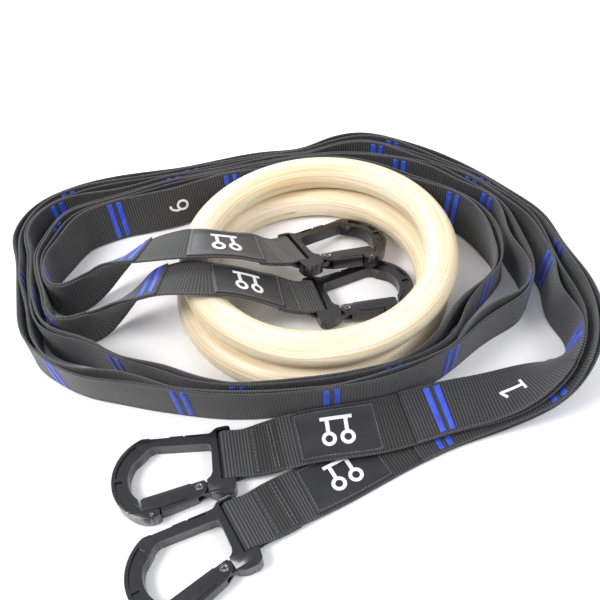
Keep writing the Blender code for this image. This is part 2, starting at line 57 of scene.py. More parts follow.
ORIGIN = Vector((-0.02495, -0.08350, 0.0))
RING_OUTER_DIAMETER = 0.235
RING_TUBE_DIAMETER = 0.028
TOUCH_GAP = 0.0003
LAYER_GAP = 0.0008
FLOOR_GAP = 0.0004
WEB_WIDTH = 0.0425
WEB_THICKNESS = 0.0016
EYE_WIDTH = 0.0398
FOLD_LENGTH = 0.038
EYE_BLEND = 0.016
LOOPS_START = 0.137
REAR_LABEL_START = 0.034
FRONT_LABEL_START = 0.053
LABEL_LENGTH = 0.062
LABEL_WIDTH = 0.038
LABEL_THICKNESS = 0.0008
LABEL_FIELD = 0.72 * LABEL_THICKNESS

BODY_THICKNESS = 0.011
BAR_RADIUS = 0.003
EAR_INNER = 0.0206
RIVET_X, RIVET_Y = 0.0217, -0.0229
RIVET_RADIUS = 0.0016
RIVET_HEAD_RADIUS = 0.0030
PIN_X, PIN_Y = 0.0566, -0.0374
PIN_RADIUS = 0.0017
TONGUE_THICKNESS = 0.0048
SLOT_THICKNESS = 0.0056
BORE_GAP = 0.0002
FORK_RADIUS = 0.0058
BASKET = (0.050, -0.008)
BASKET_OUTER_RADIUS = 0.0345
BASKET_INNER_RADIUS = 0.0225
GATE_THICKNESS = 0.0100

# each carabiner's place: its webbing bar's middle and its turns about x, y and z in degrees
CARABINERS = {
    "front_a": ((-0.0840, -0.1659, 0.0060), (180.0, 0.0, 185.5)),
    "front_b": ((-0.0762, -0.2217, 0.0060), (180.0, 0.0, 205.0)),
    "rear_a": ((-0.0205, 0.0188, 0.0258), (-7.0, 10.5, 22.0)),
    "rear_b": ((-0.0060, -0.0234, 0.0088), (-3.5, 1.6, 12.0)),
}

# A strap's route, from its rear carabiner to its front one: the middle line of the webbing in
# millimetres and its lean away from the rings in degrees, where 0 stands on edge and 90 lies
# flat. A point with no height stands on the floor, and its height comes from the lean.
ROUTE_A = [
    (-20.5, 18.8, 25.8, 86), (-38.5, 11.6, 36.5, 84), (-57, 9, 46.5, 82), (-74, 6, 55.5, 80),
    (-91, 4, 61.5, 80), (-110, 4.5, 63, 80), (-130, 7.5, 59, 77), (-150, 10.5, 52.5, 68),
    (-166, 12, 43.5, 50), (-179, 11, 33.5, 30), (-190.5, 6, 25.5, 14), (-203, -2, 7), (-215, -8, 6),
    (-226.5, -7, 3), (-234, 1, -2), (-238, 14, -3), (-239, 30, -2), (-233, 47, 0), (-226, 62, 3),
    (-215, 77, 6), (-196, 86, 9), (-168, 94, 10), (-135, 104, 9), (-100, 112, 7), (-60, 118, 4),
    (-20, 125, 0), (20, 126, 0), (58, 112, 3), (90, 88, 6), (120, 65, 8), (142, 42, 7), (155, 15, 0),
    (157, -8, -6), (146, -32, 4), (127, -52, 6), (110, -72, 6), (98, -94, 4), (80, -109, 4),
    (52, -119.5, 5), (10, -127.3, 5), (-35, -129, 4), (-75, -126, 4), (-108, -117, 4), (-130, -105, 6),
    (-158, -91, 7), (-190, -71, 6), (-218, -59, 4), (-235, -42, 0), (-243, -18, -2), (-248, 8, 0),
    (-251.5, 34, 2), (-257, 60, 5), (-249, 85, 8), (-228, 102, 9), (-195, 113, 8), (-155, 118, 6),
    (-115, 122.5, 5), (-75, 129.5, 4), (-35, 135, 2), (0, 136.5, 0), (28, 143, 2), (58, 143, 6),
    (88, 127, 8), (118, 106, 5), (148, 78, 3), (172, 45, 8), (186, 18, 10), (190, -12, 8), (192, -40, 6),
    (196, -66, 5), (197, -88, 5), (190, -108, 20.8, 12), (177, -121.5, 18, 36), (157, -131.5, 14.5, 62),
    (131, -139.5, 11.8, 82), (104, -143.5, 11, 92), (78, -146.5, 11, 98), (30, -155.6, 11, 102),
    (-20, -158.4, 10.6, 98), (-60, -163.6, 7.2, 93), (-84, -165.9, 6.0, 90),
]
ROUTE_B = [
    (-6, -23.4, 8.8, 88), (-25, -27.6, 20.2, 86), (-42, -28.8, 31.5, 84), (-58, -30.3, 43, 83),
    (-76, -32.5, 53.5, 82), (-93, -34, 60, 82), (-110, -32, 61, 82), (-128, -29.5, 57.5, 77),
    (-143, -29, 51, 68), (-157, -30, 41.5, 50), (-169, -32, 32, 33), (-180, -36, 25, 18), (-191, -41, 9),
    (-205, -45, 7), (-217, -44, 5), (-226, -36, 2), (-231, -25, -1), (-235, -12, -2), (-239.7, 1, -2),
    (-243.9, 16, -2), (-245.1, 34, 0), (-240.5, 52, 0), (-233, 69, 3), (-221, 84, 6), (-199, 92, 9),
    (-170, 100, 10), (-137, 110, 9), (-100, 117.5, 6), (-60, 124, 4), (-20, 130, 0), (20, 131.5, 0),
    (58, 124, 4), (92, 110, 8), (120, 95, 6), (137, 77, 4), (155, 56, 3), (167.5, 32, 3), (174, 0, -3),
    (174, -35, 0), (160, -64, 3), (138, -78, 5), (116, -92, 5), (98, -106, 6), (70, -122, 6), (35, -132, 8),
    (0, -135.3, 9), (-40, -136, 9), (-80, -133, 7), (-115, -125, 6), (-145, -116, 5), (-172, -108, 8),
    (-198, -98, 8), (-224, -79, 4), (-243, -56, 0), (-251, -26, 0), (-256, 2, 0), (-261, 30, 2),
    (-267, 58, 4), (-257, 90, 6), (-233, 110, 8), (-198, 122, 8), (-158, 127, 6), (-118, 129, 6),
    (-78, 136, 4), (-38, 141, 2), (-4, 142, 0), (24, 152, 3), (57, 155, 6), (90, 139, 6), (120, 117, 5),
    (152, 85, 3), (178, 50, 3), (197, 18, 2), (203, -12, 0), (208, -35, 0), (212, -56, 2), (212, -80, 5),
    (206, -102, 10), (196.5, -118.5, 20, 18), (182.5, -130, 14.5, 40), (161, -138.5, 8.2, 64),
    (133, -143.5, 4.2, 80), (105, -148.5, 2.4, 88), (74, -156.5, 1.7, 90), (29, -174.5, 1.6, 90),
    (-7, -191, 1.8, 90), (-36, -203, 2.9, 90), (-57, -212.7, 4.2, 90), (-76.2, -221.7, 6.0, 90),
]

# where the two layers of each strap are sewn together, in millimetres from the rear carabiner
TACKS = {
    "a": (146, 253, 363, 475, 580, 698, 818, 939, 1056, 1160, 1276, 1393, 1505, 1608, 1706, 1806, 1922,
          2001, 2128),
    "b": (147, 248, 362, 478, 592, 700, 794, 898, 999, 1098, 1212, 1323, 1429, 1550, 1669, 1770, 1872, 1974,
          2074, 2222, 2316),
}


# ---------------- camera, light and floor

def new_object(name, data):
    obj = bpy.data.objects.new(name, data)
    bpy.context.scene.collection.objects.link(obj)
    return obj


def make_camera():
    """The photo's viewing place, as fitted to the two rings."""
    camera = new_object("camera", bpy.data.cameras.new("camera"))
    right = Vector((0.99502, -0.07509, -0.06556))
    up = Vector((0.09968, 0.74950, 0.65445))
    forward = Vector((0.0, 0.65773, -0.75325))
    turn = Matrix((right, up, -forward)).transposed().to_4x4()
    camera.matrix_world = Matrix.Translation((0.00615, -0.36912, 0.50118)) @ turn
    camera.data.sensor_width = 36.0
    camera.data.lens = 45.6
    camera.data.clip_start = 0.01
    bpy.context.scene.camera = camera


def add_area_light(name, place, target, size, power, colour=(1.0, 1.0, 1.0)):
    lamp = bpy.data.lights.new(name, "AREA")
    lamp.shape = "DISK"
    lamp.size = size
    lamp.energy = power
    lamp.color = colour
    obj = new_object(name, lamp)
    obj.location = place
    obj.rotation_euler = (Vector(target) - Vector(place)).to_track_quat("-Z", "Y").to_euler()


def make_studio():
    world = bpy.data.worlds.new("studio")
    bpy.context.scene.world = world
    world.use_nodes = True
    background = world.node_tree.nodes["Background"]
    background.inputs["Color"].default_value = (0.97, 0.98, 1.0, 1.0)
    background.inputs["Strength"].default_value = 0.80
    add_area_light("key_light", (-0.85, -0.25, 1.05), (0.0, 0.0, 0.0), 0.6, 13.0, (1.0, 0.99, 0.97))
    add_area_light("fill_light", (0.8, -0.35, 0.9), (0.0, 0.0, 0.0), 0.5, 5.0)
    add_area_light("back_light", (-0.35, 1.25, 0.62), (0.0, 0.0, 0.03), 0.7, 11.0)
    bpy.context.scene.view_settings.view_transform = "Standard"
    bpy.ops.mesh.primitive_plane_add(size=6.0, location=(0.0, 0.0, 0.0))
    floor = bpy.context.object
    floor.name = "floor"
    floor.data.materials.append(floor_material())


# ---------------- materials

class Shader:
    """A node material with a Principled shader and short ways to add nodes to it."""

    def __init__(self, name, colour, roughness, **sockets):
        self.material = bpy.data.materials.new(name)
        self.material.use_nodes = True
        self.tree = self.material.node_tree
        self.surface = self.tree.nodes["Principled BSDF"]
        self.set("Base Color", (*colour, 1.0))
        self.set("Roughness", roughness)
        for socket, value in sockets.items():
            self.set(socket.replace("_", " "), value)

    def set(self, socket, value):
        self.surface.inputs[socket].default_value = value

    def put(self, source, socket):
        self.tree.links.new(source, self.surface.inputs[socket])

    def node(self, kind, values=None, **settings):
        node = self.tree.nodes.new("ShaderNode" + kind)
        for key, value in settings.items():
            setattr(node, key, value)
        for key, value in (values or {}).items():
            if isinstance(value, bpy.types.NodeSocket):
                self.tree.links.new(value, node.inputs[key])
            else:
                node.inputs[key].default_value = value
        return node

    def math(self, operation, *values, clamp=False):
        return self.node("Math", dict(enumerate(values)), operation=operation, use_clamp=clamp).outputs[0]

    def times(self, first, second, **options):
        return self.math("MULTIPLY", first, second, **options)

    def scaled(self, value, factor, shift, **options):
        """value times factor, plus shift."""
        return self.math("MULTIPLY_ADD", value, factor, shift, **options)

    def noise(self, vector, scale, detail=2.0, roughness=0.5):
        values = {"Vector": vector, "Scale": scale, "Detail": detail, "Roughness": roughness}
        return self.node("TexNoise", values).outputs["Fac"]

    def mix(self, factor, first, second):
        values = {"Factor": factor}
        for key, colour in ((6, first), (7, second)):
            values[key] = (*colour, 1.0) if isinstance(colour, tuple) else colour
        return self.node("Mix", values, data_type="RGBA").outputs[2]

    def steps(self, value, low, high):
        """0 below low, 1 above high and smooth between them."""
        values = {"Value": value, "From Min": low, "From Max": high}
        return self.node("MapRange", values, interpolation_type="SMOOTHSTEP").outputs[0]

    def bump(self, height, distance, strength, after=None):
        values = {"Height": height, "Distance": distance, "Strength": strength}
        if after is not None:
            values["Normal"] = after
        return self.node("Bump", values).outputs[0]

    def object_place(self):
        return self.node("TexCoord").outputs["Object"]

    def wave(self, value, pitch):
        """0 to 1 and back once every pitch of value."""
        return self.scaled(self.math("SINE", self.times(value, 2 * pi / pitch)), 0.5, 0.5)


def floor_material():
    s = Shader("pale_floor", (0.90, 0.895, 0.905), 0.5)
    cloud = s.noise(s.object_place(), 1.5)
    s.put(s.mix(cloud, (0.89, 0.885, 0.90), (0.91, 0.91, 0.915)), "Base Color")
    return s.material


def sewn_coordinates(s):
    """Millimetres along the webbing, millimetres across it and the share of light stitching."""
    return s.node("SeparateXYZ", {0: s.node("Attribute", attribute_name="sewn").outputs["Vector"]}).outputs


def webbing_material(name, dark, light):
    """Ribbed polyester webbing: rows of floats across the width, with beaded edges."""
    s = Shader(name, dark, 0.72, Sheen_Weight=0.25, Sheen_Roughness=0.45, Specular_IOR_Level=0.35)
    along, across, stitched = sewn_coordinates(s)
    rib = s.wave(along, 2.4)
    row = s.math("PINGPONG", s.times(along, 1 / 2.4), 1.0)
    stagger = s.times(s.math("ROUND", row), 0.6)
    dot = s.wave(s.math("ADD", stagger, across), 1.2)
    fine = s.times(s.wave(along, 0.8), s.wave(s.scaled(along, 0.5, across), 0.8))
    float_thread = s.steps(s.times(rib, dot), 0.15, 0.80)
    weave = s.scaled(fine, 0.30, s.times(rib, 0.13))
    weave = s.scaled(float_thread, 0.60, weave)
    edge = s.steps(s.math("ABSOLUTE", across), 19.2, 20.3)
    bead = s.wave(along, 1.7)
    weave = s.node("Mix", {"Factor": edge, 2: weave, 3: bead}, data_type="FLOAT").outputs[0]
    place = s.object_place()
    fuzz = s.noise(place, 900.0, 3.0)
    patch = s.noise(place, 28.0, 3.0)
    glow = s.times(weave, s.scaled(fuzz, 0.9, 0.45))
    glow = s.times(glow, s.scaled(patch, 0.9, 0.45), clamp=True)
    glow = s.scaled(s.times(stitched, s.times(rib, dot)), 1.3, glow, clamp=True)
    s.put(s.mix(glow, dark, light), "Base Color")
    s.put(s.scaled(fuzz, 0.25, 0.6), "Roughness")
    coarse = s.bump(weave, 0.00028, 0.75)
    s.put(s.bump(fuzz, 0.00012, 0.6, coarse), "Normal")
    return s.material


def label_material():
    """Smooth black satin with a fine cross weave."""
    s = Shader("label_satin", (0.012, 0.012, 0.013), 0.42, Sheen_Weight=0.15, Specular_IOR_Level=0.45)
    along, across, _ = sewn_coordinates(s)
    weave = s.times(s.wave(along, 0.55), s.wave(across, 0.55))
    cloud = s.noise(s.object_place(), 60.0, 4.0)
    s.put(s.mix(cloud, (0.008, 0.008, 0.009), (0.022, 0.022, 0.024)), "Base Color")
    s.put(s.scaled(cloud, 0.25, 0.3), "Roughness")
    s.put(s.bump(weave, 0.00006, 0.5), "Normal")
    return s.material


def thread_material(name, colour, dark, roughness=0.45):
    """Twisted sewing thread, lighter on its crowns."""
    s = Shader(name, colour, roughness, Sheen_Weight=0.3, Sheen_Roughness=0.35)
    place = s.object_place()
    fibre = s.noise(place, 1600.0, 2.0)
    patch = s.noise(place, 90.0, 2.0)
    worn = s.scaled(fibre, 0.6, s.times(patch, 0.4))
    s.put(s.mix(s.steps(worn, 0.3, 0.65), dark, colour), "Base Color")
    s.put(s.scaled(fibre, 0.2, roughness - 0.1), "Roughness")
    s.put(s.bump(fibre, 0.00008, 0.5), "Normal")
    return s.material


def birch_material(name, turn):
    """Laminated birch: strips wound round the ring, so their lines are circles about its axis."""
    s = Shader(name, (0.80, 0.64, 0.42), 0.42, Coat_Weight=0.25, Coat_Roughness=0.3)
    place = s.object_place()
    x, y, z = s.node("SeparateXYZ", {0: place}).outputs
    radius = s.math("SQRT", s.math("ADD", s.times(x, x), s.times(y, y)))
    wander = s.scaled(s.noise(place, 9.0, 2.0), 0.0022, radius)
    layer = s.math("FRACT", s.times(wander, 1 / 0.0016))
    line = s.math("SUBTRACT", 1.0, s.steps(s.math("ABSOLUTE", s.math("SUBTRACT", layer, 0.5)), 0.03, 0.16))
    angle = s.math("ADD", s.math("ARCTAN2", y, x), turn)

    def wound(round_scale, out_scale, up_scale=0.0):
        """Noise coordinates that follow the strips: round the ring, outwards and upwards."""
        up = s.scaled(z, up_scale, s.times(s.math("SINE", angle), round_scale))
        values = {0: s.times(s.math("COSINE", angle), round_scale), 1: s.times(wander, out_scale), 2: up}
        return s.node("CombineXYZ", values).outputs[0]

    around = wound(1.6, 620.0, 240.0)
    grain = s.noise(around, 1.0, 4.0, 0.65)
    broad = s.noise(wound(1.0, 170.0), 1.0)
    fine = s.noise(wound(14.0, 2400.0, 1200.0), 1.0, 3.0)
    pale = s.mix(s.steps(broad, 0.30, 0.72), (0.86, 0.79, 0.63), (0.82, 0.70, 0.46))
    tone = s.mix(s.times(s.steps(grain, 0.44, 0.72), 0.75), pale, (0.70, 0.47, 0.24))
    tone = s.mix(s.times(line, s.scaled(broad, 0.8, 0.15)), tone, (0.58, 0.39, 0.19))
    tone = s.mix(s.times(s.steps(fine, 0.55, 0.8), 0.35), tone, (0.62, 0.43, 0.24))
    fleck = s.math("SUBTRACT", 1.0, s.steps(s.noise(around, 1.7, 1.0), 0.20, 0.245))
    s.put(s.mix(s.times(fleck, 0.8), tone, (0.30, 0.17, 0.07)), "Base Color")
    s.put(s.scaled(grain, 0.25, 0.3), "Roughness")
    s.put(s.bump(fine, 0.00006, 0.4, s.bump(grain, 0.00010, 0.35)), "Normal")
    return s.material


def metal_material(name, dark, worn, roughness, metallic, wear_and_highlight):
    """Cast and coated metal: a fine cast skin, with a painted highlight on the sloping chamfers, broken by
    scuffs, and a few bright scuffs elsewhere.
    """
    s = Shader(name, dark, roughness, Metallic=metallic, Specular_IOR_Level=0.4, Coat_Weight=0.5,
               Coat_Roughness=0.10)
    place = s.object_place()
    skin = s.noise(place, 1400.0, 3.0)
    cloud = s.noise(place, 160.0, 4.0)
    scuff = s.noise(place, 420.0, 5.0, 0.7)
    facing = s.math("ABSOLUTE", s.node("SeparateXYZ", {0: s.node("TexCoord").outputs["Normal"]}).outputs[2])
    # painted highlight: faces that slope between flat and upright, the chamfers, are picked by their normal
    # to be lightened
    edge = s.math("SUBTRACT", s.steps(facing, 0.10, 0.35), s.steps(facing, 0.90, 0.985))
    rubbed_and_highlight = s.times(edge, s.scaled(s.steps(scuff, 0.40, 0.60), 0.55, 0.45))
    rubbed_and_highlight = s.times(rubbed_and_highlight, wear_and_highlight)
    # scattered bright scuff spots: real wear
    rubbed_and_highlight = s.math("MAXIMUM", rubbed_and_highlight, s.times(s.steps(scuff, 0.72, 0.80), wear_and_highlight * 0.25))
    # the worn colour serves both the painted chamfer highlight and the real scuffs
    s.put(s.mix(rubbed_and_highlight, s.mix(cloud, dark, tuple(1.6 * c for c in dark)), worn), "Base Color")
    s.put(s.scaled(cloud, 0.22, roughness - 0.1), "Roughness")
    s.put(s.bump(skin, 0.00005, 0.5, s.bump(cloud, 0.00015, 0.25)), "Normal")
    return s.material


def make_materials():
    return {
        "base": webbing_material("webbing_base", (0.005, 0.005, 0.0055), (0.095, 0.095, 0.098)),
        "loops": webbing_material("webbing_loops", (0.0055, 0.0055, 0.006), (0.125, 0.125, 0.13)),
        "label": label_material(),
        "tack": thread_material("tack_blue", (0.035, 0.115, 0.80), (0.012, 0.04, 0.50)),
        "grey_thread": thread_material("grey_thread", (0.20, 0.20, 0.205), (0.06, 0.06, 0.062)),
        "white": thread_material("print_white", (0.86, 0.86, 0.87), (0.62, 0.62, 0.64), 0.6),
        # each metal's second colour and last number set its painted chamfer highlight and its scuffs
        "anodised": metal_material("anodised_dark", (0.005, 0.005, 0.006), (0.11, 0.11, 0.115), 0.3, 0, 0.8),
        "steel": metal_material("dark_steel", (0.03, 0.03, 0.033), (0.30, 0.30, 0.31), 0.26, 0.5, 0.6),
        "spring": metal_material("spring_steel", (0.45, 0.45, 0.46), (0.7, 0.7, 0.7), 0.25, 1.0, 0.3),
    }


# ---------------- pieces

def add_piece(name, mesh, material, body, replaced=(), matrix=None):
    """A shown piece on a CAD body, standing for the CAD nodes it replaces."""
    obj = new_object(name, mesh)
    if matrix is not None:
        obj.matrix_world = matrix
    obj.data.materials.append(material)
    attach(obj, body)
    if replaced:
        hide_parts(*replaced)
    return obj


def clean(mesh, join_distance=None):
    """Turns the faces outwards, after joining points closer than join_distance."""
    bm = bmesh.new()
    bm.from_mesh(mesh)
    if join_distance:
        bmesh.ops.remove_doubles(bm, verts=bm.verts, dist=join_distance)
    bmesh.ops.recalc_face_normals(bm, faces=bm.faces)
    bm.to_mesh(mesh)
    bm.free()


class Parts:
    """Gathers closed shapes that share one mesh."""

    def __init__(self):
        self.vertices, self.faces, self.sewn = [], [], []

    def loft(self, rings, sewn=None, closed=False):
        """A tube through rings of points: capped at both ends, or closed into a hoop."""
        rings = np.asarray(rings)
        count, sides = rings.shape[:2]
        start = len(self.vertices)
        self.vertices.extend(rings.reshape(-1, 3))
        places = np.zeros((count * sides, 3)) if sewn is None else np.asarray(sewn).reshape(-1, 3)
        self.sewn.extend(places)
        for i in range(count if closed else count - 1):
            near, far = start + i * sides, start + (i + 1) % count * sides
            for k in range(sides):
                nxt = (k + 1) % sides
                self.faces.append((near + k, near + nxt, far + nxt, far + k))
        if closed:
            return
        self.faces.append(tuple(range(start, start + sides)))
        last = start + (count - 1) * sides
        self.faces.append(tuple(reversed(range(last, last + sides))))

    def mesh(self, name, smooth_angle=None):
        """A mesh with outward faces, which keeps the places on the webbing in "sewn"."""
        mesh = bpy.data.meshes.new(name)
        mesh.from_pydata([tuple(v) for v in self.vertices], [], self.faces)
        attribute = mesh.attributes.new("sewn", "FLOAT_VECTOR", "POINT")
        attribute.data.foreach_set("vector", np.asarray(self.sewn, np.float32).ravel())
        clean(mesh)
        mesh.shade_smooth()
        if smooth_angle:
            mesh.set_sharp_from_angle(angle=radians(smooth_angle))
        return mesh


def sew(strap, what, parts, material, replaced=(), smooth_angle=None):
    """The gathered parts as one piece of the strap, standing for those of its CAD nodes it replaces."""
    strap_name = f"strap_{strap.letter}_"
    return add_piece(strap_name + what, parts.mesh(strap_name + what, smooth_angle), material, "straps",
                     [strap_name + node for node in replaced])


# ---------------- the straps' routes

def smooth_curve(points, samples):
    """Even samples on a natural cubic spline through the points, one row each."""
    points = np.array(points, float)
    steps = np.sqrt(np.linalg.norm(np.diff(points[:, :3], axis=0), axis=1))
    knots = np.concatenate([[0.0], np.cumsum(steps)])
    count = len(points)
    gaps = np.diff(knots)
    system = np.eye(count)
    right = np.zeros_like(points)
    for i in range(1, count - 1):
        system[i, i - 1:i + 2] = gaps[i - 1], 2 * (gaps[i - 1] + gaps[i]), gaps[i]
        right[i] = 6 * ((points[i + 1] - points[i]) / gaps[i] - (points[i] - points[i - 1]) / gaps[i - 1])
    bend = np.linalg.solve(system, right)
    fine = np.linspace(0.0, knots[-1], samples)
    span = np.clip(np.searchsorted(knots, fine, side="right") - 1, 0, count - 2)
    before = ((knots[span + 1] - fine) / gaps[span])[:, None]
    after = 1 - before
    square = (gaps[span] ** 2)[:, None] / 6
    rows = before * points[span] + after * points[span + 1]
    rows += ((before ** 3 - before) * bend[span] + (after ** 3 - after) * bend[span + 1]) * square
    return rows


def unit_rows(rows):
    return rows / np.linalg.norm(rows, axis=1)[:, None]


def ease(value):
    value = np.clip(value, 0.0, 1.0)
    return value * value * (3 - 2 * value)


def standing_height(lean):
    """Height in millimetres of the middle line where the lower edge just clears the floor."""
    layers = 0.5 * WEB_THICKNESS if lean > 0 else 1.5 * WEB_THICKNESS + LAYER_GAP
    tilt = radians(abs(lean))
    return (WEB_WIDTH / 2 * cos(tilt) + layers * sin(tilt) + FLOOR_GAP) / MM


class Strap:
    """The middle line of one strap with its width direction and its inner face's direction."""

    def __init__(self, letter, route):
        self.letter = letter
        rows = [(*place[:2], *(place[2:] or [standing_height(lean)]), lean) for *place, lean in route]
        dense = smooth_curve(rows, 6000)
        lowest = [standing_height(lean) for lean in dense[:, 3]]
        dense[:, 2] = np.maximum(dense[:, 2], lowest)
        middle = dense[:, :3] * MM - np.array([ORIGIN.x, ORIGIN.y, 0.0])
        run = np.concatenate([[0.0], np.cumsum(np.linalg.norm(np.diff(middle, axis=0), axis=1))])
        self.length = run[-1]
        self.at = np.linspace(0.0, self.length, 2400)
        self.middle = np.stack([np.interp(self.at, run, middle[:, k]) for k in range(3)], 1)
        lean = np.radians(np.interp(self.at, run, dense[:, 3]))[:, None]
        along = unit_rows(np.gradient(self.middle, axis=0))
        inward = unit_rows(np.cross(along, [0.0, 0.0, 1.0]))
        upward = np.cross(inward, along)
        across = np.cos(lean) * upward - np.sin(lean) * inward
        across = self.turn_to_bar(across, "rear_" + letter, self.at)
        across = self.turn_to_bar(across, "front_" + letter, self.length - self.at)
        self.across = across
        self.face = unit_rows(np.cross(along, across))
        self.tacks = np.array(TACKS[letter]) * MM
        self.bulge = np.zeros(len(self.at))

    @staticmethod
    def turn_to_bar(across, which, distance):
        """Brings the width direction parallel to a carabiner's bar towards that end."""
        bar = np.array(carabiner_matrix(which).to_3x3() @ Vector((0.0, 1.0, 0.0)))
        end = across[0] if distance[0] < distance[-1] else across[-1]
        bar = bar * (1 if np.dot(end, bar) > 0 else -1)
        share = ease((0.045 - distance) / 0.035)[:, None]
        return unit_rows((1 - share) * across + share * bar)

    def read(self, rows, s):
        return np.stack([np.interp(s, self.at, rows[:, k]) for k in range(3)], -1)

    def end_distance(self, s):
        return np.minimum(s, self.length - s)

    def lift(self, s):
        """Offset of the base webbing: doubled beside each bar, single elsewhere."""
        distance = self.end_distance(s)
        doubled = (WEB_THICKNESS + TOUCH_GAP) / 2
        eye = (BAR_RADIUS + TOUCH_GAP + WEB_THICKNESS / 2 - doubled) * ease(1 - distance / EYE_BLEND)
        return doubled * ease((FOLD_LENGTH + 0.012 - distance) / 0.012) + eye

    def width(self, s):
        return EYE_WIDTH + (WEB_WIDTH - EYE_WIDTH) * ease((self.end_distance(s) - 0.008) / 0.022)

    def place(self, s, v, height):
        """The point at distance s, v across the webbing and height above the middle line."""
        s, v, height = np.broadcast_arrays(s, v, height)
        rows = self.read(self.middle, s) + self.read(self.across, s) * v[..., None]
        return rows + self.read(self.face, s) * height[..., None]

    def loop_offset(self, s):
        """Middle of the loop webbing above the base webbing's: pinched at tacks, open between them."""
        sewn = np.min(np.abs(np.asarray(s)[..., None] - self.tacks), axis=-1)
        loose = ease((sewn - 0.006) / 0.012)
        return WEB_THICKNESS + 0.00004 + LAYER_GAP * 0.6 * loose + np.interp(s, self.at, self.bulge)

    def inner_height(self, s):
        """Height of the surface that faces inwards: the loop webbing's, or the base's beyond it."""
        looped = (s > LOOPS_START) & (s < self.length - LOOPS_START)
        return self.lift(s) + WEB_THICKNESS / 2 + np.where(looped, self.loop_offset(s), 0.0)

    def outer_height(self, s):
        folded = self.end_distance(s) < FOLD_LENGTH
        return np.where(folded, -self.lift(s), self.lift(s)) - WEB_THICKNESS / 2


# ---------------- webbing

def webbing_profile():
    """Half widths as a share and half thicknesses in metres round a woven strap's section."""
    half = WEB_THICKNESS / 2
    face = [(-0.965, half * 1.08), (-0.93, half * 1.12), (-0.89, half * 0.93)]
    face += [(share, half) for share in (-0.7, -0.45, -0.2, 0.2, 0.45, 0.7)]
    face += [(-share, height) for share, height in reversed(face[:3])]
    upper = [(-1.0, 0.0), (-0.99, half * 0.7)] + face + [(0.99, half * 0.7)]
    return upper + [(-share, -height) for share, height in upper]


def ribbon(parts, centres, across, widths, places, stitched):
    """A woven ribbon through centres, with each section's place along the webbing."""
    profile = np.array(webbing_profile())
    along = unit_rows(np.gradient(centres, axis=0))
    normal = unit_rows(np.cross(along, across))
    side = profile[None, :, 0] * (widths / 2)[:, None]
    rings = centres[:, None] + across[:, None] * side[..., None] + normal[:, None] * profile[None, :, 1, None]
    sewn = np.stack([np.broadcast_to(places[:, None] / MM, side.shape), side / MM,
                     np.broadcast_to(stitched[:, None], side.shape)], -1)
    parts.loft(rings, sewn)


def eye_path(strap, rear):
    """The folded end: from under the base webbing to the bar, then round the bar's far side."""
    end = 0.0 if rear else strap.length
    sign = 1 if rear else -1
    s = end + sign * np.linspace(FOLD_LENGTH, 0.002, 22)
    centres = strap.place(s, 0.0, -strap.lift(s))
    across = strap.read(strap.across, s)
    bar = strap.place(end, 0.0, 0.0)
    width_way = strap.read(strap.across, end)
    face = strap.read(strap.face, end)
    outward = np.cross(width_way, face)
    radius = BAR_RADIUS + TOUCH_GAP + WEB_THICKNESS / 2
    angles = np.linspace(-pi / 2, pi / 2, 17)[:, None]
    turn = bar + radius * (np.sin(angles) * face - np.cos(angles) * sign * outward)
    centres = np.concatenate([centres, turn])
    across = np.concatenate([across, np.repeat(width_way[None], len(angles), 0)])
    widths = np.concatenate([strap.width(s), np.full(len(angles), EYE_WIDTH)])
    return centres, across, widths


def light_stitching(strap, s):
    """The share of light stitching at distance s: next to each bar and before the label."""
    distance = strap.end_distance(s)
    near_bar = ease((0.019 - distance) / 0.002)
    fold_end = ease((distance - 0.040) / 0.002) * ease((0.056 - distance) / 0.002)
    return np.maximum(near_bar, fold_end * 0.8)


def make_base(strap, materials):
    s = np.arange(0.003, strap.length - 0.003, 0.002)
    sections = [eye_path(strap, True),
                (strap.place(s, 0.0, strap.lift(s)), strap.read(strap.across, s), strap.width(s)),
                tuple(rows[::-1] for rows in eye_path(strap, False))]
    centres, across, widths = (np.concatenate(rows) for rows in zip(*sections))
    run = np.concatenate([[0.0], np.cumsum(np.linalg.norm(np.diff(centres, axis=0), axis=1))])
    run += s[0] - run[len(sections[0][0])]
    parts = Parts()
    stitched = light_stitching(strap, np.clip(run, 0.0, strap.length))
    ribbon(parts, centres, across, widths, run, stitched)
    return sew(strap, "base", parts, materials["base"], ["base_webbing"])


def make_loops(strap, materials):
    s = np.arange(LOOPS_START, strap.length - LOOPS_START, 0.002)
    parts = Parts()
    centres = strap.place(s, 0.0, strap.lift(s) + strap.loop_offset(s))
    ribbon(parts, centres, strap.read(strap.across, s), np.full(len(s), WEB_WIDTH), s, np.zeros(len(s)))
    return sew(strap, "loops", parts, materials["loops"], ["loop_webbing"])


# ---------------- pockets that stand open

def obstacle_tree(without):
    """All CAD solids but one, as one tree for measuring free space."""
    bm = bmesh.new()
    for name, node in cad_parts.items():
        if name != without:
            bm.from_mesh(node.data)
    tree = BVHTree.FromBMesh(bm)
    bm.free()
    return tree


def open_pockets(strap, openings):
    """Opens each pocket's loop webbing by its millimetres, or as far as the space beside it allows."""
    tree = obstacle_tree(f"strap_{strap.letter}_loop_webbing")
    reach, checked_step, spare = 0.03, 4, 0.0008
    surface = LAYER_GAP + 1.5 * WEB_THICKNESS + 0.0002
    clear = np.full(len(strap.at), reach)
    for k in range(0, len(strap.at), checked_step):
        face = strap.face[k]
        for v in (-0.019, -0.01, 0.0, 0.01, 0.019):
            start = strap.middle[k] + strap.across[k] * v + face * (strap.lift(strap.at[k]) + surface)
            distance = tree.ray_cast(Vector(start), Vector(face), reach)[3]
            if distance is not None:
                clear[k:k + checked_step] = np.minimum(clear[k:k + checked_step], distance)
    for low, high, opening in zip(strap.tacks, strap.tacks[1:], openings):
        inside = (strap.at > low) & (strap.at < high)
        shape = np.sin(pi * (strap.at[inside] - low) / (high - low)) ** 2
        allowed = np.min((clear[inside] - spare)[shape > 0.15] / shape[shape > 0.15])
        strap.bulge[inside] = max(0.0, min(opening * MM, allowed)) * shape


# ---------------- sewn details

